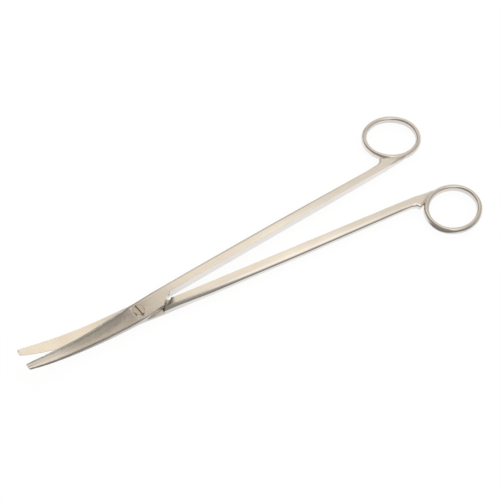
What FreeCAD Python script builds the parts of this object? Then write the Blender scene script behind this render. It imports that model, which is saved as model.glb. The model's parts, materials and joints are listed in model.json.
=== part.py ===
"""Long curved dissecting scissors with a screw joint, in millimetres.

Two forged halves cross at a flat lap and turn on a countersunk slotted screw.
The blades bend upwards, and their inner faces follow one surface of revolution
about the screw's axis, so that they slide past each other at any opening.
+X runs from the screw to the finger rings, +Y to the upper half's shank, +Z up.
The origin lies on the screw's axis at the underside of the joint.
"""
import FreeCAD, Part
import os

import Sketcher
from FreeCAD import Vector

# Driving sizes, in millimetres and degrees
SIZES = {
    # How far each half is turned from the centreline as the scissors lie
    "half_opening": 3.94,
    # Joint: the box where the halves cross, each half as thick as half of it
    "box_thickness": 5.2,
    "box_edge": 4.62,
    "box_back": 5.05,
    "box_rear": 10.4,
    "box_rear_back": 4.0,
    "box_round": 1.6,
    "back_round": 0.7,
    "rear_run": 5.8,
    "lap_gap": 0.1,
    "shoulder_gap": 0.55,
    # Bend of the blades' inner faces
    "bend_start": 10.5,
    "bend_radius": 134.0,
    # Places of the blade's sections, as distances from the screw
    "root_at": 3.0,
    "heel_at": 14.0,
    "middle_at": 30.0,
    "fore_at": 45.0,
    "tip_at": 56.1,
    "tip_stock": 0.8,
    # Cutting edge and back of the blade, each side of the half's centreline
    "edge_heel": 4.08,
    "edge_middle": 3.15,
    "edge_fore": 2.35,
    "edge_tip": 1.05,
    "back_heel": 4.5,
    "back_middle": 3.53,
    "back_fore": 2.7,
    "back_tip": 1.75,
    # Height of the blade's crown over the inner face
    "crown_heel": 2.3,
    "crown_middle": 2.0,
    "crown_fore": 1.55,
    "crown_tip": 1.1,
    # Width of the ground bevel behind the cutting edge
    "bevel_heel": 3.6,
    "bevel_middle": 3.3,
    "bevel_fore": 2.3,
    "bevel_tip": 1.4,
    # Thickness at the cutting edge, and the crown's rise from the bevel to the back
    "land_heel": 0.8,
    "land_blade": 0.35,
    "back_rise": 0.3,
    # Radius of the bevel, of the crown and of the tip's corners in plan, as shares of their widths
    "bevel_roundness": 1.5,
    "crown_roundness": 3.0,
    "tip_roundness": 0.42,
    # Shank, between its flat inner side and its rounded outer side
    "shank_inner": 0.6,
    "shank_front": 17.0,
    "front_outer": 5.0,
    "waist_at": 33.0,
    "waist_outer": 5.42,
    "waist_thickness": 4.9,
    "mid_shank_at": 80.0,
    "mid_shank_outer": 5.35,
    "mid_shank_thickness": 4.4,
    # Neck and hollow of the shank's outer side, each by its run to the next station, and the
    # fork, where the ring leaves the shank, by its distance from the ring's centre
    "neck_run": 7.0,
    "neck_outer": 4.7,
    "neck_thickness": 3.95,
    "flare_run": 2.2,
    "flare_outer": 4.88,
    "hollow_run": 1.2,
    "hollow_outer": 5.5,
    "fork_back": 13.5,
    "fork_outer": 6.9,
    "edge_break": 0.15,
    # Rounding of the shank's outer side, as a share of its thickness
    "shank_roundness": 0.42,
    # Shares of the wire's height or width that the web keeps beside the ring, lower than its
    # crest, and that the shank's end keeps, out of sight inside the ring
    "web_share": 0.95,
    "buried_share": 0.8,
    "buried_round": 0.38,
    # Finger ring
    "ring_centre_along": 156.9,
    "ring_centre_out": 13.87,
    "ring_hole_length": 24.3,
    "ring_hole_width": 21.1,
    "ring_flattening": 0.08,
    "ring_tilt": 16.4,
    "wire_width": 2.65,
    "wire_height": 3.8,
    # Pivot screw
    "head_diameter": 5.1,
    "head_rim": 0.25,
    "head_cone": 0.95,
    "stem_diameter": 3.2,
    "thread_diameter": 2.7,
    "pivot_fit": 0.04,
    "thread_fit": 0.02,
    "slot_width": 0.7,
    "slot_depth": 0.7,
    "slot_turn": -83.0,
}

# How far tools reach past what they cut or stop short of it, the turn that grinds a blade,
# and how many times the blade's taper the tip's rounding starts clear of its side
PAST = 1.1
SHORT_OF = 0.8
GRINDING_TURN = 160
TAPERS_CLEAR = 3

doc = FreeCAD.newDocument("DissectingScissors")


def make_sheet():
    """Spreadsheet with one named cell for each driving size."""
    sizes = doc.addObject("Spreadsheet::Sheet", "Sizes")
    for row, (alias, amount) in enumerate(SIZES.items(), start=1):
        sizes.set(f"A{row}", alias)
        sizes.set(f"B{row}", str(amount))
        sizes.setAlias(f"B{row}", alias)
    doc.recompute()
    return sizes


sheet = make_sheet()


def size(alias):
    """Name of a driving size, as expressions use it."""
    return f"Sizes.{alias}"


def number(text):
    """Present value of an expression."""
    return float(sheet.evalExpression(text))


def arc_middle(start, end, radius, hand):
    """Middle of the minor arc from start to end, left (+1) or right (-1) of the way."""
    half = (end - start) * 0.5
    sagitta = radius - max(radius ** 2 - half.Length ** 2, 0.0) ** 0.5
    left = Vector(-half.y, half.x, 0).normalize()
    return start + half + left * sagitta * hand


def draw_outline(sketch, corners):
    """Closed outline through corners, each held by its distances from the origin.

    A corner is (across, up), or (across, up, radius, hand) where the edge to the
    next corner is an arc that bulges to the left (+1) or right (-1) of the way.
    """
    spots = [Vector(number(corner[0]), number(corner[1]), 0) for corner in corners]
    ends = []
    for index, corner in enumerate(corners):
        start, end = spots[index], spots[(index + 1) % len(spots)]
        if len(corner) == 2:
            edge = Part.LineSegment(start, end)
            ends.append((1, 2))
        else:
            middle = arc_middle(start, end, number(corner[2]), corner[3])
            clockwise = corner[3] > 0
            edge = Part.Arc(end, middle, start) if clockwise else Part.Arc(start, middle, end)
            ends.append((2, 1) if clockwise else (1, 2))
        sketch.addGeometry(edge, False)
    for index, corner in enumerate(corners):
        following = (index + 1) % len(corners)
        sketch.addConstraint(Sketcher.Constraint(
            "Coincident", index, ends[index][1], following, ends[following][0]))
        for kind, text in (("DistanceX", corner[0]), ("DistanceY", corner[1])):
            held = sketch.addConstraint(
                Sketcher.Constraint(kind, -1, 1, index, ends[index][0], number(text)))
            sketch.setExpression(f"Constraints[{held}]", text)
        if len(corner) > 2:
            held = sketch.addConstraint(Sketcher.Constraint("Radius", index, number(corner[2])))
            sketch.setExpression(f"Constraints[{held}]", corner[2])


def add_sketch(body, name, role, away=None):
    """Sketch on one of the body's own origin planes, or parallel to it."""
    sketch = body.newObject("Sketcher::SketchObject", name)
    plane = next(item for item in body.Origin.OriginFeatures if item.Role == role)
    sketch.AttachmentSupport = [(plane, "")]
    sketch.MapMode = "FlatFace"
    if away:
        sketch.setExpression("AttachmentOffset.Base.z", away)
    return sketch


def lap_rise(distance):
    """How far the blades' inner face has bent up at a distance from the screw."""
    past = f"max({distance} - {size('bend_start')}; 0)"
    return f"({size('bend_radius')} - sqrt({size('bend_radius')}^2 - ({past})^2))"


class Half:
    """One half of the scissors, modelled closed, with its shank along +X.

    side is +1 for the upper half, whose shank is at +Y and whose blade lies over
    the lap, and -1 for the lower half, which is the same turned over about X,
    apart from the bend of its blade.
    """

    def __init__(self, name, side):
        self.side = side
        self.body = doc.addObject("PartDesign::Body", name)
        self.body.Label = name

    def out(self, text):
        """A distance towards the half's own shank side, or away from the lap."""
        return f"({text})" if self.side > 0 else f"-({text})"

    def loft(self, name, sections, ruled=False):
        """Solid through the sections, smooth along its length or straight between them."""
        forging = self.body.newObject("PartDesign::AdditiveLoft", f"{name}_{self.body.Name}")
        forging.Profile = sections[0]
        forging.Sections = sections[1:]
        forging.Ruled = ruled
        doc.recompute()

    def blade_section(self, station, at, edge, back, crown, bevel, land, rise, bevel_face,
                      crown_face=None):
        """Blade section: a foot past the inner face, the bevel, the crown and the back."""
        sketch = add_sketch(self.body, f"blade_{station}_{self.body.Name}", "YZ_Plane", f"-{at}")
        rounding = size("back_round")
        brow = f"({crown} - {rise})"
        crown_arc = (crown_face, -1) if crown_face else ()

        def spot(across, up, *arc):
            return (self.out(across), f"{lap_rise(at)} + {self.out(up)}") + arc

        draw_outline(sketch, [
            spot(edge, f"-{size('crown_tip')}"),
            spot(edge, land, bevel_face, -1),
            spot(f"{edge} - {bevel}", brow, *crown_arc),
            spot(f"-({back} - {rounding})", crown, rounding, -1),
            spot(f"-{back}", f"{crown} - {rounding}"),
            spot(f"-{back}", f"-{size('crown_tip')}"),
        ])
        return sketch

    def box(self):
        """Flat box of the joint, with its slanting rear end and rounded outer edges."""
        sketch = add_sketch(self.body, f"box_plan_{self.body.Name}", "XY_Plane")
        draw_outline(sketch, [
            (f"-{size('root_at')}", self.out(size("box_edge"))),
            (f"-{size('root_at')}", self.out(f"-{size('box_back')}")),
            ("0", self.out(f"-{size('box_back')}")),
            (size("box_rear"), self.out(f"-{size('box_rear_back')}")),
            (f"{size('box_rear')} + {size('rear_run')}", self.out(size("shank_inner"))),
            (size("shank_front"), self.out(size("shank_inner"))),
            (size("shank_front"), self.out(size("front_outer"))),
            (size("box_rear"), self.out(size("front_outer"))),
            ("0", self.out(size("box_edge"))),
        ])
        pad = self.body.newObject("PartDesign::Pad", f"box_forging_{self.body.Name}")
        pad.Profile = sketch
        pad.Midplane = True
        pad.setExpression("Length", size("box_thickness"))
        doc.recompute()
        shank_side = self.round_box("shank_side", pad, self.side, size("box_round"))
        self.round_box("back", shank_side, -self.side, size("back_round"))
        self.clear_lap()

    def round_box(self, name, base, towards, radius):
        """Rounding along one of the box's long sides, but not along the shank's inner side."""
        edges = []
        outer_height = number(f"{size('box_thickness')} / 2 - {size('lap_gap')}")
        for index, edge in enumerate(base.Shape.Edges, start=1):
            run = edge.Vertexes[-1].Point - edge.Vertexes[0].Point
            lengthwise = abs(run.x) > max(abs(run.y), abs(run.z))
            outermost = abs(edge.CenterOfMass.z) > outer_height
            beside = edge.CenterOfMass.y * towards > number(size("box_rear_back"))
            if lengthwise and outermost and beside:
                edges.append(f"Edge{index}")
        rounding = self.body.newObject("PartDesign::Fillet", f"{name}_rounding_{self.body.Name}")
        rounding.Base = (base, edges)
        rounding.setExpression("Radius", radius)
        doc.recompute()
        return rounding

    def clear_lap(self):
        """Room for the other half's box: what lies past the lap, up to the shoulder."""
        sketch = add_sketch(self.body, f"lap_plan_{self.body.Name}", "XY_Plane",
                            self.out(f"{size('lap_gap')} / 2"))
        slope = f"(({size('box_rear_back')} + {size('shank_inner')}) / {size('rear_run')})"
        shift = f"({size('shoulder_gap')} * sqrt(1 + 1 / {slope}^2))"
        beside = f"({size('box_back')} + {size('box_round')})"
        rear = f"{size('box_rear')} + {shift}"
        front = f"-{size('root_at')} * {PAST}"
        draw_outline(sketch, [
            (f"{rear} - ({beside} - {size('box_rear_back')}) / {slope}", self.out(beside)),
            (f"{rear} + ({beside} + {size('box_rear_back')}) / {slope}", self.out(f"-{beside}")),
            (front, self.out(f"-{beside}")),
            (front, self.out(beside)),
        ])
        cut = self.body.newObject("PartDesign::Pocket", f"lap_{self.body.Name}")
        cut.Profile = sketch
        cut.Type = "ThroughAll"
        cut.Reversed = self.side < 0
        doc.recompute()

    def blade(self):
        """Bent tapering blade, lofted and then ground to the common inner face."""
        half_box = f"{size('box_thickness')} / 2"
        corner = size("box_round")
        stock_end = f"({size('tip_at')} + {size('tip_stock')})"
        sections = [
            self.blade_section("root", size("root_at"), size("box_edge"), size("box_back"),
                               half_box, corner, f"{half_box} - {corner}", "0", corner),
        ]
        for station, at, land in (("heel", size("heel_at"), size("land_heel")),
                                  ("middle", size("middle_at"), size("land_blade")),
                                  ("fore", size("fore_at"), size("land_blade")),
                                  ("tip", stock_end, size("land_blade"))):
            edge, back = size(f"edge_{station}"), size(f"back_{station}")
            crown, bevel = size(f"crown_{station}"), size(f"bevel_{station}")
            brow = f"({crown} - {size('back_rise')})"
            bevel_face = f"{size('bevel_roundness')} * sqrt({bevel}^2 + ({brow} - {land})^2)"
            crown_face = f"{size('crown_roundness')} * ({back} + {edge} - {bevel})"
            sections.append(self.blade_section(station, at, edge, back, crown, bevel, land,
                                               size("back_rise"), bevel_face, crown_face))
        self.loft("blade_blank", sections)
        self.grind_inner_face()
        self.round_tip()

    def grind_inner_face(self):
        """Inner face, turned about the screw's axis, which leaves half of the lap gap."""
        sketch = add_sketch(self.body, f"inner_face_{self.body.Name}", "XZ_Plane")
        gap = self.out(f"{size('lap_gap')} / 2")
        near, reach = f"({size('root_at')} * {SHORT_OF})", f"({size('tip_at')} * {PAST})"
        beyond = self.out(f"-({size('box_thickness')} + {size('tip_at')} / 4)")
        draw_outline(sketch, [
            (f"-{near}", gap),
            (f"-{size('bend_start')}", gap, size("bend_radius"), 1),
            (f"-{reach}", f"{gap} + {lap_rise(reach)}"),
            (f"-{reach}", beyond),
            (f"-{near}", beyond),
        ])
        groove = self.body.newObject("PartDesign::Groove", f"inner_grind_{self.body.Name}")
        groove.Profile = sketch
        groove.ReferenceAxis = (sketch, ["V_Axis"])
        groove.Angle = GRINDING_TURN
        groove.Midplane = True
        doc.recompute()

    def tip_flank(self, name, turn):
        """Distance out to which the tip's rounding starts, just clear of the blade's side."""
        near, far = size(f"{name}_fore"), size(f"{name}_tip")
        taper = f"abs({near} - {far}) / ({size('tip_at')} - {size('fore_at')})"
        return f"({far} + {TAPERS_CLEAR} * {turn} * {taper})"

    def round_tip(self):
        """Blunt tip: what lies outside a rounded end in plan is cut away."""
        sketch = add_sketch(self.body, f"tip_plan_{self.body.Name}", "XY_Plane")
        tip, past = size("tip_at"), f"({size('tip_at')} * {PAST})"
        width = f"({size('edge_tip')} + {size('back_tip')})"
        turn, beside = f"({size('tip_roundness')} * {width})", f"({width} * 2)"
        edge, back = (self.tip_flank(name, turn) for name in ("edge", "back"))
        draw_outline(sketch, [
            (f"-({tip} - {turn})", self.out(edge), turn, -self.side),
            (f"-{tip}", self.out(f"{edge} - {turn}")),
            (f"-{tip}", self.out(f"-({back} - {turn})"), turn, -self.side),
            (f"-({tip} - {turn})", self.out(f"-{back}")),
            (f"-({tip} - {turn})", self.out(f"-{beside}")),
            (f"-{past}", self.out(f"-{beside}")),
            (f"-{past}", self.out(beside)),
            (f"-({tip} - {turn})", self.out(beside)),
        ])
        cut = self.body.newObject("PartDesign::Pocket", f"tip_rounding_{self.body.Name}")
        cut.Profile = sketch
        cut.Type = "ThroughAll"
        cut.Midplane = True
        doc.recompute()

    def shank_section(self, station, at, inner, outer, thickness, inside, outside=None):
        """Upright section, bevelled along the inner side and rounded along the outer one."""
        outside = outside or f"({size('shank_roundness')} * {thickness})"
        sketch = add_sketch(self.body, f"shank_{station}_{self.body.Name}", "YZ_Plane", at)
        half = f"{thickness} / 2"
        draw_outline(sketch, [
            (self.out(f"{inner} + {inside}"), self.out(f"-({half})")),
            (self.out(f"{outer} - {outside}"), self.out(f"-({half})"), outside, -1),
            (self.out(outer), self.out(f"-({half} - {outside})")),
            (self.out(outer), self.out(f"{half} - {outside}"), outside, -1),
            (self.out(f"{outer} - {outside}"), self.out(half)),
            (self.out(f"{inner} + {inside}"), self.out(half)),
            (self.out(inner), self.out(f"{half} - {inside}")),
            (self.out(inner), self.out(f"-({half} - {inside})")),
        ])
        return sketch

    def shank(self):
        """Slender shank, thinner towards the ring, which flares and runs into its wire."""
        inner, inside = size("shank_inner"), size("edge_break")
        wire, height = size("wire_width"), size("wire_height")
        centre, share = size("ring_centre_along"), size("buried_share")
        web, buried = f"({size('web_share')} * {height})", f"({size('buried_round')} * {wire})"
        fork = f"({centre} - {size('fork_back')})"
        hollow = f"({fork} - {size('hollow_run')})"
        flare = f"({hollow} - {size('flare_run')})"
        neck = f"({flare} - {size('neck_run')})"
        self.loft("shank_forging", [
            self.shank_section("front", size("shank_front"), inner, size("front_outer"),
                               size("box_thickness"), inside, size("box_round")),
            self.shank_section("waist", size("waist_at"), inner, size("waist_outer"),
                               size("waist_thickness"), inside),
            self.shank_section("middle", size("mid_shank_at"), inner, size("mid_shank_outer"),
                               size("mid_shank_thickness"), inside),
            self.shank_section("neck", neck, inner, size("neck_outer"),
                               size("neck_thickness"), inside),
            self.shank_section("flare", flare, inner, size("flare_outer"), web, inside),
            self.shank_section("hollow", hollow, inner, size("hollow_outer"), web, inside),
            self.shank_section("fork", fork, inner, size("fork_outer"), web, inside),
            self.shank_section("merge", f"({fork} + {centre}) / 2", inner,
                               f"{inner} + {wire} * {PAST}", web, buried, buried),
            self.shank_section("end", centre, f"{inner} + {wire} * (1 - {share}) / 2",
                               f"{inner} + {wire} * (1 + {share}) / 2", f"{height} * {share}",
                               buried, buried),
        ], ruled=True)

    def ring(self):
        """Oval finger ring, a swept wire that is higher than it is wide."""
        path = add_sketch(self.body, f"ring_path_{self.body.Name}", "XY_Plane")
        path.setExpression("AttachmentOffset.Base.x", size("ring_centre_along"))
        path.setExpression("AttachmentOffset.Base.y", self.out(size("ring_centre_out")))
        path.setExpression("AttachmentOffset.Rotation.Angle", self.out(f"-{size('ring_tilt')}"))
        long_half = f"(({size('ring_hole_length')} + {size('wire_width')}) / 2)"
        wide_half = f"(({size('ring_hole_width')} + {size('wire_width')}) / 2)"
        end_radius = f"((1 - {size('ring_flattening')}) * {wide_half})"
        draw_oval(path, long_half, wide_half, end_radius)
        doc.recompute()
        section = self.body.newObject("Sketcher::SketchObject", f"ring_wire_{self.body.Name}")
        section.AttachmentSupport = [(path, "Edge1")]
        section.MapMode = "NormalToEdge"
        draw_ellipse(section, f"({size('wire_width')} / 2)", f"({size('wire_height')} / 2)")
        doc.recompute()
        sweep = self.body.newObject("PartDesign::AdditivePipe", f"ring_sweep_{self.body.Name}")
        sweep.Profile = section
        sweep.Spine = (path, ["Edge1", "Edge2", "Edge3", "Edge4"])
        doc.recompute()

    def bore(self, radius):
        """Hole for the screw, right through the box."""
        sketch = add_sketch(self.body, f"bore_plan_{self.body.Name}", "XY_Plane")
        sketch.addGeometry(Part.Circle(Vector(0, 0, 0), Vector(0, 0, 1), number(radius)), False)
        sketch.addConstraint(Sketcher.Constraint("Coincident", 0, 3, -1, 1))
        held = sketch.addConstraint(Sketcher.Constraint("Radius", 0, number(radius)))
        sketch.setExpression(f"Constraints[{held}]", radius)
        hole = self.body.newObject("PartDesign::Pocket", f"bore_{self.body.Name}")
        hole.Profile = sketch
        hole.Type = "ThroughAll"
        hole.Midplane = True
        doc.recompute()

    def countersink(self):
        """Conical seat for the screw's head."""
        sketch = add_sketch(self.body, f"seat_profile_{self.body.Name}", "XZ_Plane")
        inside = f"({size('stem_diameter')} / 2 * {SHORT_OF})"
        top = f"({size('box_thickness')} / 2 * {PAST})"
        stem, rim = head_profile(size("pivot_fit"))
        draw_outline(sketch, [
            (inside, stem[1]),
            stem,
            rim,
            (rim[0], top),
            (inside, top),
        ])
        groove = self.body.newObject("PartDesign::Groove", f"screw_seat_{self.body.Name}")
        groove.Profile = sketch
        groove.ReferenceAxis = (sketch, ["V_Axis"])
        groove.Angle = 360
        doc.recompute()

    def build(self):
        self.box()
        self.blade()
        self.shank()
        self.ring()
        if self.side > 0:
            self.bore(f"{size('stem_diameter')} / 2 + {size('pivot_fit')}")
            self.countersink()
        else:
            self.bore(f"{size('thread_diameter')} / 2 + {size('thread_fit')}")
        place(self.body, self.out(size("half_opening")))
        return self.body


def draw_oval(sketch, long_half, wide_half, end_radius):
    """Oval about the sketch's origin, of two end arcs and two flatter ones tangent to them."""
    shift = f"({long_half} - {end_radius})"
    side_radius = (f"(({wide_half}^2 - {end_radius}^2 + {shift}^2)"
                   f" / (2 * ({wide_half} - {end_radius})))")
    share = f"{end_radius} / ({side_radius} - {end_radius})"
    along = f"({shift} * (1 + {share}))"
    across = f"(({side_radius} - {wide_half}) * {share})"
    draw_outline(sketch, [
        (along, f"-{across}", end_radius, -1),
        (along, across, side_radius, -1),
        (f"-{along}", across, end_radius, -1),
        (f"-{along}", f"-{across}", side_radius, -1),
    ])


def draw_ellipse(sketch, long_half, wide_half):
    """Ellipse about the sketch's origin, along its axes."""
    longer = number(long_half) >= number(wide_half)
    ends = (Vector(number(long_half), 0, 0), Vector(0, number(wide_half), 0))
    major, minor = ends if longer else (ends[1], -ends[0])
    sketch.addGeometry(Part.Ellipse(major, minor, Vector(0, 0, 0)), False)
    sketch.exposeInternalGeometry(0)
    sketch.addConstraint(Sketcher.Constraint("Coincident", 0, 3, -1, 1))
    sketch.addConstraint(Sketcher.Constraint("Parallel", 1, -1 if longer else -2))
    for line, half in ((1, long_half if longer else wide_half),
                       (2, wide_half if longer else long_half)):
        held = sketch.addConstraint(Sketcher.Constraint("Distance", line, 2 * number(half)))
        sketch.setExpression(f"Constraints[{held}]", f"2 * {half}")


def place(body, turn):
    """Turn a piece about the screw's axis and lift the lap to its height."""
    body.setExpression("Placement.Base.z", f"{size('box_thickness')} / 2")
    body.setExpression("Placement.Rotation.Angle", turn)
    doc.recompute()


def head_profile(fit):
    """Foot and rim of the screw head's cone, grown by a clearance."""
    rim = f"{size('box_thickness')} / 2 - {size('head_rim')}"
    return (
        (f"{size('stem_diameter')} / 2 + {fit}", f"{rim} - {size('head_cone')}"),
        (f"{size('head_diameter')} / 2 + {fit}", rim),
    )


def pivot_screw():
    """Slotted countersunk screw, threaded into the lower half and flush at both ends."""
    body = doc.addObject("PartDesign::Body", "pivot_screw")
    body.Label = "pivot_screw"
    profile = add_sketch(body, "screw_profile", "XZ_Plane")
    half_box = f"{size('box_thickness')} / 2"
    seat = f"-{size('lap_gap')} / 2"
    thread = f"{size('thread_diameter')} / 2"
    stem, rim = head_profile("0")
    draw_outline(profile, [
        ("0", f"-({half_box})"),
        (thread, f"-({half_box})"),
        (thread, seat),
        (stem[0], seat),
        stem,
        rim,
        (rim[0], half_box),
        ("0", half_box),
    ])
    turned = body.newObject("PartDesign::Revolution", "screw_turning")
    turned.Profile = profile
    turned.ReferenceAxis = (profile, ["V_Axis"])
    turned.Angle = 360
    doc.recompute()
    slot_plan = add_sketch(body, "slot_plan", "XY_Plane", half_box)
    reach, wide = f"({size('head_diameter')} / 2 * {PAST})", f"{size('slot_width')} / 2"
    draw_outline(slot_plan, [
        (f"-{reach}", f"-{wide}"),
        (reach, f"-{wide}"),
        (reach, wide),
        (f"-{reach}", wide),
    ])
    slot = body.newObject("PartDesign::Pocket", "screw_slot")
    slot.Profile = slot_plan
    slot.setExpression("Length", size("slot_depth"))
    doc.recompute()
    place(body, size("slot_turn"))
    return body


def check(pieces):
    """Stop if any object failed or any piece is not one valid solid."""
    for item in doc.Objects:
        if "Invalid" in item.State or "Error" in item.State:
            raise RuntimeError(f"{item.Name} failed: {item.State}")
    for piece in pieces:
        shape = piece.Shape
        if shape.isNull() or not shape.isValid() or len(shape.Solids) != 1:
            raise RuntimeError(f"{piece.Label} is not one valid solid")


def main():
    pieces = [
        Half("upper_half", 1).build(),
        Half("lower_half", -1).build(),
        pivot_screw(),
    ]
    doc.recompute()
    check(pieces)
    os.makedirs("parts", exist_ok=True)
    for piece in pieces:
        piece.Shape.exportStep(f"parts/{piece.Label}.step")
        box = piece.Shape.BoundBox
        print(f"{piece.Label}: {piece.Shape.Volume:.1f} mm3, x {box.XMin:.2f} to {box.XMax:.2f}, "
              f"y {box.YMin:.2f} to {box.YMax:.2f}, z {box.ZMin:.2f} to {box.ZMax:.2f}")


main()
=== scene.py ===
"""Satin steel dissecting scissors on a pale table, finished for a studio photograph."""
import json
import math

import bmesh
import bpy
from mathutils import Matrix, Vector


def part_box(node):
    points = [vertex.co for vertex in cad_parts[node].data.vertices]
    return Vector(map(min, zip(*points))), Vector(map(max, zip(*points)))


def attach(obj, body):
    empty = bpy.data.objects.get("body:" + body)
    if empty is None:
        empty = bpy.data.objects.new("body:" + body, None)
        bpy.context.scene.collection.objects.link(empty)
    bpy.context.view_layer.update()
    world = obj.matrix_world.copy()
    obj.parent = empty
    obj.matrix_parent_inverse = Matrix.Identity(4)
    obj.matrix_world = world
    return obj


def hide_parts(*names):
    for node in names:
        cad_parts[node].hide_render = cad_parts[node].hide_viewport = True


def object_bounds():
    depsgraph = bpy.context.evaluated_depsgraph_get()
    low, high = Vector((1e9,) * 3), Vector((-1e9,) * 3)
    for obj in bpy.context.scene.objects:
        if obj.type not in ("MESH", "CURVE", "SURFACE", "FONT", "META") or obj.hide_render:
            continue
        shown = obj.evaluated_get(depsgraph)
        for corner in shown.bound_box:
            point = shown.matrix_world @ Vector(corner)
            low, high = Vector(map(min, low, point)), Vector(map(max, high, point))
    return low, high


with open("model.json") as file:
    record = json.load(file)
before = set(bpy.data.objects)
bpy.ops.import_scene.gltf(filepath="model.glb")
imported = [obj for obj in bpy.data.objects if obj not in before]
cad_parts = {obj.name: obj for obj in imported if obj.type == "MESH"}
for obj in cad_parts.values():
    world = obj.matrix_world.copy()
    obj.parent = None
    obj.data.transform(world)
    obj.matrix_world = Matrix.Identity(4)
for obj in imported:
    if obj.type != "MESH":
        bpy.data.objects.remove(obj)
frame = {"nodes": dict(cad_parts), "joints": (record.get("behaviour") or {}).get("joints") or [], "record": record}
CAD_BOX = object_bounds()

bl_info = {
    "name": "Dissecting Scissors",
    "version": (1, 0, 0),
    "blender": (4, 5, 0),
    "location": "3D View > Sidebar > Scissors",
    "description": "Finishes the halves and the screw of a pair of dissecting scissors",
    "category": "Object",
}

# What the frame says about the scissors, in metres
CAD_LOW, CAD_HIGH = (Vector(corner) for corner in CAD_BOX)
PIVOT = Vector(frame["joints"][0]["pos_m"])
SCREW_LOW, SCREW_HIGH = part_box("pivot_screw")
BOX_THICKNESS = SCREW_HIGH.z - SCREW_LOW.z
HEAD_RADIUS = (SCREW_HIGH.x - SCREW_LOW.x) / 2
RING_HOLES = {
    opening["name"]: [sum(ends) / 2 for ends in zip(*opening["box_m"])]
    for opening in frame["record"]["physics"]["openings"]
}

WHITE = (1.0, 1.0, 1.0, 1.0)
TABLE_WHITE = (0.95, 0.95, 0.95, 1.0)
SOFT_WHITE = (1.0, 0.98, 0.95, 1.0)
BACKGROUND_RAYS = ("Is Camera Ray", "Is Glossy Ray", "Is Transmission Ray")

# Levels of the grain between which the steel goes from its deep to its bright colour
SATIN_TONES = (0.3, 0.62)
TURNED_TONES = (0.3, 0.7)
# Head radii from the screw over which the blade's finish begins
BLADE_START = (2, 3)
# Vertical part of a face's normal between which the blade's inner finish begins
INNER_TILT = (0.5, 0.8)
BEVEL_SAMPLES = 6
MERGE_DISTANCE = 1e-7

# Gap under the scissors that keeps the table off their lowest face, in metres
TABLE_GAP = 0.0002
# From the scissors to the fill lamp, on the camera's side and to its right
FILL_DIRECTION = Vector((0.30, -0.75, 0.62))

# Heights over the tent's middle, in radii, between which one light goes into the next
RIM_TO_WALL = (0.0, 0.7)
WALL_TO_ROOF = (0.65, 0.87)
# Reach along +X, in radii, between which the open end's dark goes into the tent's light
OPEN_TO_TENT = (-0.008, 0.157)
OPEN_END_TURN = 0.15
# Windows of the tent in degrees: azimuth and elevation of the middle, and the angles
# from it at which the window stops being full and at which it ends
TENT_WINDOWS = {
    "front_colour": (-60, 55, 12, 34),
    "seam_colour": (-15, 11, 14, 29),
    "low_colour": (27, -5, 2, 36),
    "vent_colour": (120, 81, 4, 28),
}
KEY_WINDOW = (73, 65, 1, 22)
TENT_SEGMENTS = 64
TENT_RINGS = 32

# Width of the camera's sensor in millimetres, and its clipping distances in metres
SENSOR_WIDTH = 36.0
CLIP_START, CLIP_END = 0.01, 100.0


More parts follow.
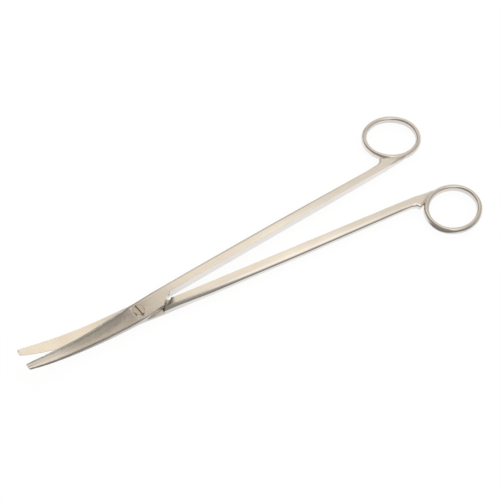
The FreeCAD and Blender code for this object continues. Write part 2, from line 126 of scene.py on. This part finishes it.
class SteelFinish(bpy.types.PropertyGroup):
    """Colours and grain of the satin steel, with painted shade near the joint and a painted reflection on the
    ground faces.
    """
    bright: bpy.props.FloatVectorProperty(
        name="Bright steel", description="Colour of the steel between the grain lines",
        subtype="COLOR", size=3, min=0, max=1, default=(0.86, 0.825, 0.785))
    deep: bpy.props.FloatVectorProperty(
        name="Deep steel", description="Colour of the steel in the grain lines",
        subtype="COLOR", size=3, min=0, max=1, default=(0.76, 0.72, 0.675))
    ring: bpy.props.FloatVectorProperty(
        name="Ring steel", description="Colour of the rings, which are finished duller",
        subtype="COLOR", size=3, min=0, max=1, default=(0.70, 0.67, 0.63))
    # Painted shade: the box and the blades' outer faces near the joint get a darker colour than the rest of the
    # steel, besides their duller finish
    dull_painted_shade: bpy.props.FloatVectorProperty(
        name="Dull steel", description="Colour of the box and of the blades' outer faces",
        subtype="COLOR", size=3, min=0, max=1, default=(0.600, 0.565, 0.525))
    # Painted reflection: the ground inner faces get a brighter colour than the rest of the steel, besides their
    # grain across the blade
    inner: bpy.props.FloatVectorProperty(
        name="Ground steel", description="Colour of the blades' ground inner faces",
        subtype="COLOR", size=3, min=0, max=1, default=(0.930, 0.875, 0.800))
    screw: bpy.props.FloatVectorProperty(
        name="Screw steel", description="Colour of the screw's turned face",
        subtype="COLOR", size=3, min=0, max=1, default=(0.62, 0.57, 0.51))
    screw_deep: bpy.props.FloatVectorProperty(
        name="Deep screw steel", description="Colour of the screw in its turning lines",
        subtype="COLOR", size=3, min=0, max=1, default=(0.54, 0.49, 0.43))
    roughness: bpy.props.FloatProperty(
        name="Roughness", description="Mean roughness of the satin finish",
        subtype="FACTOR", min=0, max=1, default=0.15)
    roughness_swing: bpy.props.FloatProperty(
        name="Roughness swing", description="How far the roughness changes over the grain",
        subtype="FACTOR", min=0, max=1, default=0.12)
    dull_roughness: bpy.props.FloatProperty(
        name="Dull roughness", description="What the duller finish adds to the roughness",
        subtype="FACTOR", min=0, max=1, default=0.12)
    grain_width: bpy.props.FloatProperty(
        name="Grain width", description="Width of one grain line across the shank",
        subtype="DISTANCE", unit="LENGTH", min=0.00001, default=0.00016)
    grain_length: bpy.props.FloatProperty(
        name="Grain length", description="Length of one grain line along the shank",
        subtype="DISTANCE", unit="LENGTH", min=0.0001, default=0.009)
    grain_depth: bpy.props.FloatProperty(
        name="Grain depth", description="Depth of the grain lines",
        subtype="DISTANCE", unit="LENGTH", min=0, default=0.000004)
    cloud_share: bpy.props.FloatProperty(
        name="Cloud share", description="Share of the steel's tone that large soft clouds give",
        subtype="FACTOR", min=0, max=1, default=0.3)
    clouds: bpy.props.FloatProperty(
        name="Clouds", description="Number of soft clouds in a metre",
        min=0, default=90.0)
    edge_break: bpy.props.FloatProperty(
        name="Edge break", description="Radius to which the sharp edges are eased",
        subtype="DISTANCE", unit="LENGTH", min=0, default=0.00012)


class ScissorsShape(bpy.types.PropertyGroup):
    """How the halves lie and where their surfaces change."""
    half_opening: bpy.props.FloatProperty(
        name="Half opening",
        description="Angle of each shank to the centreline as the scissors lie",
        subtype="ANGLE", unit="ROTATION", default=math.radians(3.94))
    crease_angle: bpy.props.FloatProperty(
        name="Crease angle", description="Angle above which an edge stays sharp",
        subtype="ANGLE", unit="ROTATION", default=math.radians(28))
    ring_reach: bpy.props.FloatProperty(
        name="Ring reach",
        description="Distance from a ring's centre out to which the grain goes round",
        subtype="DISTANCE", unit="LENGTH", default=0.0150)
    ring_blend: bpy.props.FloatProperty(
        name="Ring blend", description="Length over which the grain turns into the ring",
        subtype="DISTANCE", unit="LENGTH", default=0.0015)
    # Over this reach the finish is duller and is also painted darker as shade
    joint_reach: bpy.props.FloatProperty(
        name="Joint reach", description="Distance from the screw over which the finish is duller",
        subtype="DISTANCE", unit="LENGTH", default=0.030)
    blade_reach: bpy.props.FloatProperty(
        name="Blade reach", description="Distance down the blade at which the duller finish ends",
        subtype="DISTANCE", unit="LENGTH", default=0.048)


class Studio(bpy.types.PropertyGroup):
    """Table and lamps."""
    table_size: bpy.props.FloatProperty(
        name="Table size", description="Side of the pale table",
        subtype="DISTANCE", unit="LENGTH", default=12.0)
    table_glow: bpy.props.FloatProperty(
        name="Table glow",
        description="Share of plain white in the table, which leaves a faint shadow",
        subtype="FACTOR", min=0, max=1, default=0.93)
    soft_light: bpy.props.FloatProperty(
        name="Soft light", description="Strength of the light from all round",
        min=0, default=0.85)
    key_azimuth: bpy.props.FloatProperty(
        name="Key azimuth", description="Direction of the key lamp, from +X towards +Y",
        subtype="ANGLE", unit="ROTATION", default=math.radians(50))
    key_elevation: bpy.props.FloatProperty(
        name="Key elevation", description="Height of the key lamp over the table",
        subtype="ANGLE", unit="ROTATION", default=math.radians(52))
    key_distance: bpy.props.FloatProperty(
        name="Key distance", description="Distance of the key lamp from the scissors",
        subtype="DISTANCE", unit="LENGTH", default=1.1)
    key_size: bpy.props.FloatProperty(
        name="Key size", description="Side of the key lamp",
        subtype="DISTANCE", unit="LENGTH", default=1.0)
    key_power: bpy.props.FloatProperty(
        name="Key power", description="Power of the lamp beyond the scissors, for the shadow",
        subtype="POWER", unit="POWER", default=4.2)
    fill_distance: bpy.props.FloatProperty(
        name="Fill distance", description="Distance of the fill lamp from the scissors",
        subtype="DISTANCE", unit="LENGTH", default=1.2)
    fill_size: bpy.props.FloatProperty(
        name="Fill size", description="Side of the fill lamp",
        subtype="DISTANCE", unit="LENGTH", default=0.6)
    fill_power: bpy.props.FloatProperty(
        name="Fill power", description="Power of the lamp to the right of the camera",
        subtype="POWER", unit="POWER", default=2.6)


class MirroredLight(bpy.types.PropertyGroup):
    """Light tent, and the table with its painted shadow, as the steel mirrors them."""
    tent_radius: bpy.props.FloatProperty(
        name="Tent radius", description="Radius of the light tent over the table",
        subtype="DISTANCE", unit="LENGTH", default=0.20)
    roof_colour: bpy.props.FloatVectorProperty(
        name="Roof colour", description="Light of the tent's roof",
        subtype="COLOR", size=3, min=0, soft_max=2, default=(1.150, 1.069, 0.920))
    wall_colour: bpy.props.FloatVectorProperty(
        name="Wall colour", description="Light of the tent's walls",
        subtype="COLOR", size=3, min=0, soft_max=2, default=(0.875, 0.814, 0.717))
    rim_colour: bpy.props.FloatVectorProperty(
        name="Rim colour", description="Light of the tent where it meets the table",
        subtype="COLOR", size=3, min=0, soft_max=2, default=(0.330, 0.314, 0.290))
    front_colour: bpy.props.FloatVectorProperty(
        name="Front colour", description="Light of the tent's front, to the right of the camera",
        subtype="COLOR", size=3, min=0, soft_max=2, default=(1.14, 1.12, 1.06))
    low_colour: bpy.props.FloatVectorProperty(
        name="Low colour", description="Light of the tent's window near the table",
        subtype="COLOR", size=3, min=0, soft_max=2, default=(1.100, 1.023, 0.902))
    seam_colour: bpy.props.FloatVectorProperty(
        name="Seam colour", description="Light of the tent's dim seam at the rings' end",
        subtype="COLOR", size=3, min=0, soft_max=2, default=(0.589, 0.548, 0.483))
    vent_colour: bpy.props.FloatVectorProperty(
        name="Vent colour", description="Light of the dimmer spot near the tent's top",
        subtype="COLOR", size=3, min=0, soft_max=2, default=(0.690, 0.649, 0.586))
    open_colour: bpy.props.FloatVectorProperty(
        name="Open colour", description="Light of the dark room past the tent's open end",
        subtype="COLOR", size=3, min=0, soft_max=2, default=(0.330, 0.314, 0.287))
    key_colour: bpy.props.FloatVectorProperty(
        name="Key colour", description="Light of the warm lamp beside the tent's open end",
        subtype="COLOR", size=3, min=0, soft_max=2, default=(0.940, 0.855, 0.733))
    # Painted shadow: the table that the steel mirrors is dark on the camera's side of the scissors
    painted_shadow_table: bpy.props.FloatVectorProperty(
        name="Near table", description="Table on the camera's side of the scissors",
        subtype="COLOR", size=3, min=0, max=1, default=(0.16, 0.155, 0.15))
    far_table: bpy.props.FloatVectorProperty(
        name="Far table", description="Table under and beyond the scissors",
        subtype="COLOR", size=3, min=0, max=1, default=(0.96, 0.96, 0.97))
    # Outline of the painted shadow on the table, which follows the scissors
    joint_side: bpy.props.FloatProperty(
        name="Joint side", description="Distance of the outline from the centreline at the joint",
        subtype="DISTANCE", unit="LENGTH", default=0.006)
    shank_spread: bpy.props.FloatProperty(
        name="Shank spread",
        description="How fast the outline leaves the centreline along the shank",
        default=0.075)
    ring_side: bpy.props.FloatProperty(
        name="Ring side", description="How much further out the ring goes than the shank",
        subtype="DISTANCE", unit="LENGTH", default=0.022)
    ring_start: bpy.props.FloatProperty(
        name="Ring start",
        description="Distance from the screw at which the outline leaves the shank",
        subtype="DISTANCE", unit="LENGTH", default=0.135)
    ring_full: bpy.props.FloatProperty(
        name="Ring full", description="Distance from the screw at which the outline is at the ring",
        subtype="DISTANCE", unit="LENGTH", default=0.150)
    # The painted shadow fades in between these two distances past the outline
    fade_start: bpy.props.FloatProperty(
        name="Fade start",
        description="Distance past the outline at which the table starts to darken",
        subtype="DISTANCE", unit="LENGTH", default=0.001)
    fade_end: bpy.props.FloatProperty(
        name="Fade end", description="Distance past the outline at which the table is dark",
        subtype="DISTANCE", unit="LENGTH", default=0.009)


class Viewpoint(bpy.types.PropertyGroup):
    """Where the photograph was taken from, found from the outlines of the two halves."""
    azimuth: bpy.props.FloatProperty(
        name="Azimuth", description="Turn of the line of sight about the vertical",
        subtype="ANGLE", unit="ROTATION", default=math.radians(-38.301))
    elevation: bpy.props.FloatProperty(
        name="Elevation", description="Angle at which the camera looks down",
        subtype="ANGLE", unit="ROTATION", default=math.radians(54.499))
    roll: bpy.props.FloatProperty(
        name="Roll", description="Turn of the picture about the line of sight",
        subtype="ANGLE", unit="ROTATION", default=math.radians(-6.523))
    distance: bpy.props.FloatProperty(
        name="Distance",
        description="Distance from the camera to the joint, along the line of sight",
        subtype="DISTANCE", unit="LENGTH", default=0.6265)
    focal: bpy.props.FloatProperty(
        name="Focal length", description="Focal length in widths of the picture",
        default=2.87)
    joint_across: bpy.props.FloatProperty(
        name="Joint across",
        description="Place of the joint in the picture, in widths from its middle",
        default=-0.22276)
    joint_down: bpy.props.FloatProperty(
        name="Joint down",
        description="Place of the joint in the picture, in widths below its middle",
        default=0.12637)


class Value:
    """A number socket that takes part in Python arithmetic by adding Math nodes."""

    def __init__(self, shader, socket):
        self.shader = shader
        self.socket = socket

    def math(self, operation, *others):
        return self.shader.node("ShaderNodeMath", {"operation": operation}, [self, *others]).out()

    def __add__(self, other):
        return self.math("ADD", other)

    def __sub__(self, other):
        return self.math("SUBTRACT", other)

    def __mul__(self, other):
        return self.math("MULTIPLY", other)

    def __truediv__(self, other):
        return self.math("DIVIDE", other)

    def __rsub__(self, other):
        return self.shader.node("ShaderNodeMath", {"operation": "SUBTRACT"}, [other, self]).out()

    __radd__ = __add__
    __rmul__ = __mul__


class Node:
    """A shader node whose outputs can be picked by name or place."""

    def __init__(self, shader, made):
        self.shader = shader
        self.made = made

    def out(self, key=0):
        return Value(self.shader, self.made.outputs[key])


class Shader:
    """Node tree of a new material or world."""

    def __init__(self, owner):
        self.owner = owner
        owner.use_nodes = True
        self.tree = owner.node_tree
        self.tree.nodes.clear()

    def node(self, kind, settings=None, inputs=None):
        """A node with its settings made first, then its inputs set or linked."""
        made = self.tree.nodes.new(kind)
        for key, setting in (settings or {}).items():
            setattr(made, key, setting)
        pairs = inputs.items() if isinstance(inputs, dict) else enumerate(inputs or [])
        for key, value in pairs:
            if isinstance(value, Value):
                self.tree.links.new(value.socket, made.inputs[key])
            else:
                made.inputs[key].default_value = value
        return Node(self, made)

    def finish(self, surface, output="ShaderNodeOutputMaterial"):
        """The finished material or world, with its surface joined to its output."""
        self.node(output, inputs={"Surface": surface.out()})
        return self.owner

    def colour(self, rgb):
        return (*rgb, 1.0)

    def blend(self, factor, first, second):
        """Colour that goes from the first to the second as the factor grows."""
        return self.node("ShaderNodeMix", {"data_type": "RGBA"},
                         {0: factor, 6: first, 7: second}).out(2)

    def either(self, factor, first, second):
        """Surface that goes from the first to the second as the factor grows."""
        return self.node("ShaderNodeMixShader", inputs=[factor, first.out(), second.out()])

    def step(self, value, low, high):
        """0 below low, 1 above high, and smooth between them."""
        return self.node("ShaderNodeMapRange", {"interpolation_type": "SMOOTHSTEP"},
                         {"Value": value, "From Min": low, "From Max": high}).out("Result")

    def place(self):
        return self.node("ShaderNodeTexCoord").out("Object")

    def parts(self, vector):
        """The three numbers of a vector."""
        split = self.node("ShaderNodeSeparateXYZ", inputs=[vector])
        return split.out(0), split.out(1), split.out(2)

    def background_seen(self):
        """1 for the camera's, the mirrored and the refracted rays, and 0 for the rest."""
        path = self.node("ShaderNodeLightPath")
        seen = path.out(BACKGROUND_RAYS[0])
        for kind in BACKGROUND_RAYS[1:]:
            seen = seen.math("MAXIMUM", path.out(kind))
        return seen

    def streaks(self, along, across, up, finish):
        """Fine grain, long one way and narrow the other two, from 0 to 1."""
        place = self.node("ShaderNodeCombineXYZ", inputs=[
            along / finish.grain_length, across / finish.grain_width, up / finish.grain_width])
        return self.node("ShaderNodeTexNoise", {"noise_dimensions": "3D"},
                         {"Vector": place.out(), "Scale": 1.0, "Detail": 3.0,
                          "Roughness": 0.6}).out(0)

    def brushed_metal(self, colour, roughness, grain, finish):
        """Material of metal with its edges eased and its grain raised."""
        eased = self.node("ShaderNodeBevel", {"samples": BEVEL_SAMPLES},
                          {"Radius": finish.edge_break})
        relief = self.node("ShaderNodeBump", inputs={
            "Strength": 1.0, "Distance": finish.grain_depth, "Height": grain,
            "Normal": eased.out()})
        return self.finish(self.node("ShaderNodeBsdfPrincipled", inputs={
            "Base Color": colour,
            "Metallic": 1.0,
            "Roughness": roughness,
            "Normal": relief.out(),
        }))


def polar(beside, over):
    """Distance and direction from a centre."""
    return (beside * beside + over * over).math("SQRT"), over.math("ARCTAN2", beside)


def satin_steel(name, turn, ring_centre, inner_up):
    """Satin steel with its grain along the shank, round the ring and across the inner face.

    turn is the shank's angle to +X, and inner_up is 1 where the blade's inner face
    looks up and -1 where it looks down.
    """
    finish = bpy.context.scene.steel_finish
    shape = bpy.context.scene.scissors_shape
    shader = Shader(bpy.data.materials.new(name))
    place = shader.place()
    turned = shader.node("ShaderNodeMapping", inputs={
        "Vector": place, "Rotation": (0.0, 0.0, -turn)})
    along, across, up = shader.parts(turned.out())

    ring_along = ring_centre[0] * math.cos(turn) + ring_centre[1] * math.sin(turn)
    ring_across = ring_centre[1] * math.cos(turn) - ring_centre[0] * math.sin(turn)
    radius, angle = polar(along - ring_along, across - ring_across)
    on_ring = 1 - shader.step(radius, shape.ring_reach - shape.ring_blend, shape.ring_reach)

    facing = shader.parts(shader.node("ShaderNodeNewGeometry").out("Normal"))[2]
    on_blade = shader.step(along * -1, *(HEAD_RADIUS * count for count in BLADE_START))
    # The ground inner faces are picked by which way their normal looks, for their grain and for their painted
    # reflection
    on_inner = shader.step(facing * inner_up, *INNER_TILT) * on_blade
    # Near the joint the finish is rougher, and its darker colour there is painted shade
    on_joint_dull_and_shaded = (shader.step(along * -1, -shape.joint_reach, 0.0)
                * shader.step(along, -shape.blade_reach, -shape.joint_reach) * (1 - on_inner))

    shank_grain = shader.streaks(along, across, up, finish)
    ring_grain = shader.streaks(angle * shape.ring_reach, radius, up, finish)
    ground_grain = shader.streaks(across, along, up, finish)
    grain = shank_grain + (ring_grain - shank_grain) * on_ring
    grain = grain + (ground_grain - grain) * on_inner
    clouds = shader.node("ShaderNodeTexNoise", inputs={
        "Vector": place, "Scale": finish.clouds, "Detail": 2.0}).out(0)
    tone = grain * (1 - finish.cloud_share) + clouds * finish.cloud_share

    bright = shader.blend(on_ring, shader.colour(finish.bright), shader.colour(finish.ring))
    # Painted shade: the box and the blades' outer faces near the joint take the darker colour
    bright = shader.blend(on_joint_dull_and_shaded, bright, shader.colour(finish.dull_painted_shade))
    # Painted reflection: the ground inner faces take a brighter colour
    bright = shader.blend(on_inner, bright, shader.colour(finish.inner))
    colour = shader.blend(shader.step(tone, *SATIN_TONES), shader.colour(finish.deep), bright)
    roughness = (grain * finish.roughness_swing + on_joint_dull_and_shaded * finish.dull_roughness
                 + (finish.roughness - finish.roughness_swing / 2))
    return shader.brushed_metal(colour, roughness, grain, finish)


def turned_steel(name):
    """Steel of the screw, with the rings that its turning left on the head."""
    finish = bpy.context.scene.steel_finish
    shader = Shader(bpy.data.materials.new(name))
    x, y, z = shader.parts(shader.place())
    radius, angle = polar(x - PIVOT.x, y - PIVOT.y)
    grain = shader.streaks(angle * HEAD_RADIUS, radius, z, finish)
    colour = shader.blend(shader.step(grain, *TURNED_TONES), shader.colour(finish.screw_deep),
                          shader.colour(finish.screw))
    roughness = grain * finish.roughness_swing + finish.roughness
    return shader.brushed_metal(colour, roughness, grain, finish)


def link(piece):
    """Puts an object into the scene."""
    bpy.context.scene.collection.objects.link(piece)


def smoothed_copy(node, name):
    """The node's shape as one closed mesh, smooth but for its creases."""
    mesh = frame["nodes"][node].data.copy()
    mesh.name = name
    mesh.materials.clear()
    work = bmesh.new()
    work.from_mesh(mesh)
    bmesh.ops.remove_doubles(work, verts=work.verts, dist=MERGE_DISTANCE)
    work.to_mesh(mesh)
    work.free()
    mesh.shade_smooth()
    mesh.set_sharp_from_angle(angle=bpy.context.scene.scissors_shape.crease_angle)
    piece = bpy.data.objects.new(name, mesh)
    link(piece)
    weighting = piece.modifiers.new("Even shading", "WEIGHTED_NORMAL")
    weighting.keep_sharp = True
    return piece


def dress(node, body, material):
    """A finished piece that stands for a node of the frame and rides on its body."""
    piece = smoothed_copy(node, f"{node}_steel")
    piece.data.materials.append(material)
    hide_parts(node)
    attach(piece, body)


class SCISSORS_OT_upper_half(bpy.types.Operator):
    """Finish the half that lies on top"""
    bl_idname = "scissors.upper_half"
    bl_label = "Upper Half"

    def execute(self, context):
        turn = context.scene.scissors_shape.half_opening
        steel = satin_steel("satin_steel_upper", turn, RING_HOLES["upper_ring_hole"], -1)
        dress("upper_half", "upper", steel)
        return {"FINISHED"}


class SCISSORS_OT_lower_half(bpy.types.Operator):
    """Finish the half that carries the screw's thread"""
    bl_idname = "scissors.lower_half"
    bl_label = "Lower Half"

    def execute(self, context):
        turn = -context.scene.scissors_shape.half_opening
        steel = satin_steel("satin_steel_lower", turn, RING_HOLES["lower_ring_hole"], 1)
        dress("lower_half", "lower", steel)
        return {"FINISHED"}


class SCISSORS_OT_pivot_screw(bpy.types.Operator):
    """Finish the slotted screw of the joint"""
    bl_idname = "scissors.pivot_screw"
    bl_label = "Pivot Screw"

    def execute(self, context):
        dress("pivot_screw", "lower", turned_steel("turned_steel"))
        return {"FINISHED"}


def white_world(studio):
    """World that lights softly and shows white behind the object."""
    shader = Shader(bpy.data.worlds.new("White studio"))
    soft = shader.node("ShaderNodeBackground", inputs={
        "Color": SOFT_WHITE, "Strength": studio.soft_light})
    white = shader.node("ShaderNodeBackground", inputs={"Color": WHITE})
    surface = shader.either(shader.background_seen(), soft, white)
    bpy.context.scene.world = shader.finish(surface, "ShaderNodeOutputWorld")


def table_paint(studio, mirrored):
    """White table that keeps a faint shadow, with a painted shadow on the camera's side that the steel mirrors."""
    shader = Shader(bpy.data.materials.new("white_table"))
    along, across = shader.parts(shader.place())[:2]
    # Painted shadow: glossy rays see the table dark beside the scissors' outline on the camera's side
    on_ring = shader.step(along, mirrored.ring_start, mirrored.ring_full)
    outline = along * mirrored.shank_spread + mirrored.joint_side + on_ring * mirrored.ring_side
    unshadowed = shader.step(across + outline, -mirrored.fade_end, -mirrored.fade_start)
    reflected_with_painted_shadow = shader.blend(unshadowed, shader.colour(mirrored.painted_shadow_table),
                             shader.colour(mirrored.far_table))
    glossy = shader.node("ShaderNodeLightPath").out("Is Glossy Ray")
    matt = shader.node("ShaderNodeBsdfDiffuse", inputs={"Color": TABLE_WHITE})
    glow = shader.node("ShaderNodeEmission", inputs={
        "Color": shader.blend(glossy, WHITE, reflected_with_painted_shadow)})
    return shader.finish(
        shader.either(shader.background_seen() * studio.table_glow, matt, glow))


def table(studio, mirrored):
    """Flat square sheet under the scissors."""
    mesh = bpy.data.meshes.new("white_table")
    half = studio.table_size / 2
    height = CAD_LOW.z - TABLE_GAP
    corners = [(x * half, y * half, height) for x, y in ((-1, -1), (1, -1), (1, 1), (-1, 1))]
    mesh.from_pydata(corners, [], [(0, 1, 2, 3)])
    mesh.materials.append(table_paint(studio, mirrored))
    sheet = bpy.data.objects.new("white_table", mesh)
    link(sheet)


def lamp(name, aim, direction, distance, size, power):
    """Square soft lamp that looks at aim from a direction, and that the steel doesn't mirror."""
    light = bpy.data.lights.new(name, "AREA")
    light.shape = "SQUARE"
    light.size = size
    light.energy = power
    holder = bpy.data.objects.new(name, light)
    link(holder)
    holder.location = aim + direction.normalized() * distance
    holder.rotation_euler = direction.to_track_quat("Z", "Y").to_euler()
    holder.visible_glossy = False


def towards(azimuth, elevation):
    """Unit vector of a direction."""
    level = math.cos(elevation)
    return Vector((math.cos(azimuth) * level, math.sin(azimuth) * level, math.sin(elevation)))


def tent_cloth(mirrored):
    """Glow of the tent, whose open end, walls, roof and windows the steel mirrors."""
    shader = Shader(bpy.data.materials.new("tent_cloth"))
    way = shader.node("ShaderNodeVectorMath", {"operation": "NORMALIZE"}, [shader.place()]).out()
    along, across, height = shader.parts(way)

    def add_window(light, window, colour):
        """The light with a soft round window of another colour in it."""
        azimuth, elevation, inner, outer = (math.radians(angle) for angle in window)
        nearness = shader.node("ShaderNodeVectorMath", {"operation": "DOT_PRODUCT"},
                               [way, tuple(towards(azimuth, elevation))]).out("Value")
        within = shader.step(nearness, math.cos(outer), math.cos(inner))
        return shader.blend(within, light, shader.colour(colour))

    light = shader.blend(shader.step(height, *WALL_TO_ROOF), shader.colour(mirrored.wall_colour),
                         shader.colour(mirrored.roof_colour))
    light = shader.blend(shader.step(height, *RIM_TO_WALL), shader.colour(mirrored.rim_colour),
                         light)
    for name, window in TENT_WINDOWS.items():
        light = add_window(light, window, getattr(mirrored, name))
    under_cloth = shader.step(along + across * OPEN_END_TURN, *OPEN_TO_TENT)
    light = shader.blend(under_cloth, shader.colour(mirrored.open_colour), light)
    light = add_window(light, KEY_WINDOW, mirrored.key_colour)
    return shader.finish(shader.node("ShaderNodeEmission", inputs={"Color": light}))


def light_tent(middle, mirrored):
    """Half dome over the table, which only the steel's reflections see."""
    mesh = bpy.data.meshes.new("light_tent")
    work = bmesh.new()
    bmesh.ops.create_uvsphere(work, u_segments=TENT_SEGMENTS, v_segments=TENT_RINGS,
                              radius=mirrored.tent_radius)
    below = [corner for corner in work.verts if corner.co.z < -TABLE_GAP / 2]
    bmesh.ops.delete(work, geom=below, context="VERTS")
    work.to_mesh(mesh)
    work.free()
    mesh.materials.append(tent_cloth(mirrored))
    tent = bpy.data.objects.new("light_tent", mesh)
    tent.location = (middle.x, middle.y, CAD_LOW.z)
    link(tent)
    tent.visible_camera = False
    tent.visible_diffuse = False
    tent.visible_shadow = False
    tent.visible_transmission = False


def sight_axes(view):
    """Right, down and forward directions of the picture."""
    level = math.cos(view.elevation)
    forward = Vector((-math.sin(view.azimuth) * level, math.cos(view.azimuth) * level,
                      -math.sin(view.elevation)))
    right = forward.cross(Vector((0, 0, 1))).normalized()
    down = forward.cross(right)
    turned_right = right * math.cos(view.roll) + down * math.sin(view.roll)
    turned_down = down * math.cos(view.roll) - right * math.sin(view.roll)
    return turned_right, turned_down, forward


def photo_camera(view):
    """Camera at the photograph's viewpoint."""
    right, down, forward = sight_axes(view)
    joint = PIVOT + Vector((0, 0, BOX_THICKNESS / 2))
    reach = view.distance / view.focal
    eye = (joint - forward * view.distance - right * (view.joint_across * reach)
           - down * (view.joint_down * reach))
    camera = bpy.data.cameras.new("photo_camera")
    camera.sensor_width = SENSOR_WIDTH
    camera.lens = view.focal * SENSOR_WIDTH
    camera.clip_start, camera.clip_end = CLIP_START, CLIP_END
    holder = bpy.data.objects.new("photo_camera", camera)
    link(holder)
    turn = Matrix((right, -down, -forward)).transposed().to_4x4()
    holder.matrix_world = Matrix.Translation(eye) @ turn
    bpy.context.scene.camera = holder


class SCISSORS_OT_stage(bpy.types.Operator):
    """Set up the table, the soft lamps, the light tent and the camera"""
    bl_idname = "scissors.stage"
    bl_label = "Stage"

    def execute(self, context):
        scene = context.scene
        studio, mirrored = scene.studio, scene.mirrored_light
        middle = (CAD_LOW + CAD_HIGH) / 2
        white_world(studio)
        table(studio, mirrored)
        lamp("key_lamp", middle, towards(studio.key_azimuth, studio.key_elevation),
             studio.key_distance, studio.key_size, studio.key_power)
        lamp("fill_lamp", middle, FILL_DIRECTION,
             studio.fill_distance, studio.fill_size, studio.fill_power)
        light_tent(middle, mirrored)
        photo_camera(scene.viewpoint)
        scene.view_settings.view_transform = "Standard"
        return {"FINISHED"}


class SCISSORS_PT_panel(bpy.types.Panel):
    """Steps and sizes of the scissors"""
    bl_idname = "SCISSORS_PT_panel"
    bl_label = "Dissecting Scissors"
    bl_space_type = "VIEW_3D"
    bl_region_type = "UI"
    bl_category = "Scissors"

    def draw(self, context):
        layout = self.layout
        for operator in OPERATORS:
            layout.operator(operator.bl_idname)
        for group in GROUPS:
            settings = getattr(context.scene, group)
            for key in settings.__annotations__:
                layout.prop(settings, key)


GROUPS = {
    "steel_finish": SteelFinish,
    "scissors_shape": ScissorsShape,
    "studio": Studio,
    "mirrored_light": MirroredLight,
    "viewpoint": Viewpoint,
}
OPERATORS = (
    SCISSORS_OT_upper_half,
    SCISSORS_OT_lower_half,
    SCISSORS_OT_pivot_screw,
    SCISSORS_OT_stage,
)


def register():
    for group in GROUPS.values():
        bpy.utils.register_class(group)
    for name, group in GROUPS.items():
        setattr(bpy.types.Scene, name, bpy.props.PointerProperty(type=group))
    for operator in OPERATORS:
        bpy.utils.register_class(operator)
    bpy.utils.register_class(SCISSORS_PT_panel)


def unregister():
    bpy.utils.unregister_class(SCISSORS_PT_panel)
    for operator in reversed(OPERATORS):
        bpy.utils.unregister_class(operator)
    for name in GROUPS:
        delattr(bpy.types.Scene, name)
    for group in reversed(GROUPS.values()):
        bpy.utils.unregister_class(group)


def main():
    register()
    bpy.ops.scissors.upper_half()
    bpy.ops.scissors.lower_half()
    bpy.ops.scissors.pivot_screw()
    bpy.ops.scissors.stage()


if __name__ == "__main__":
    main()
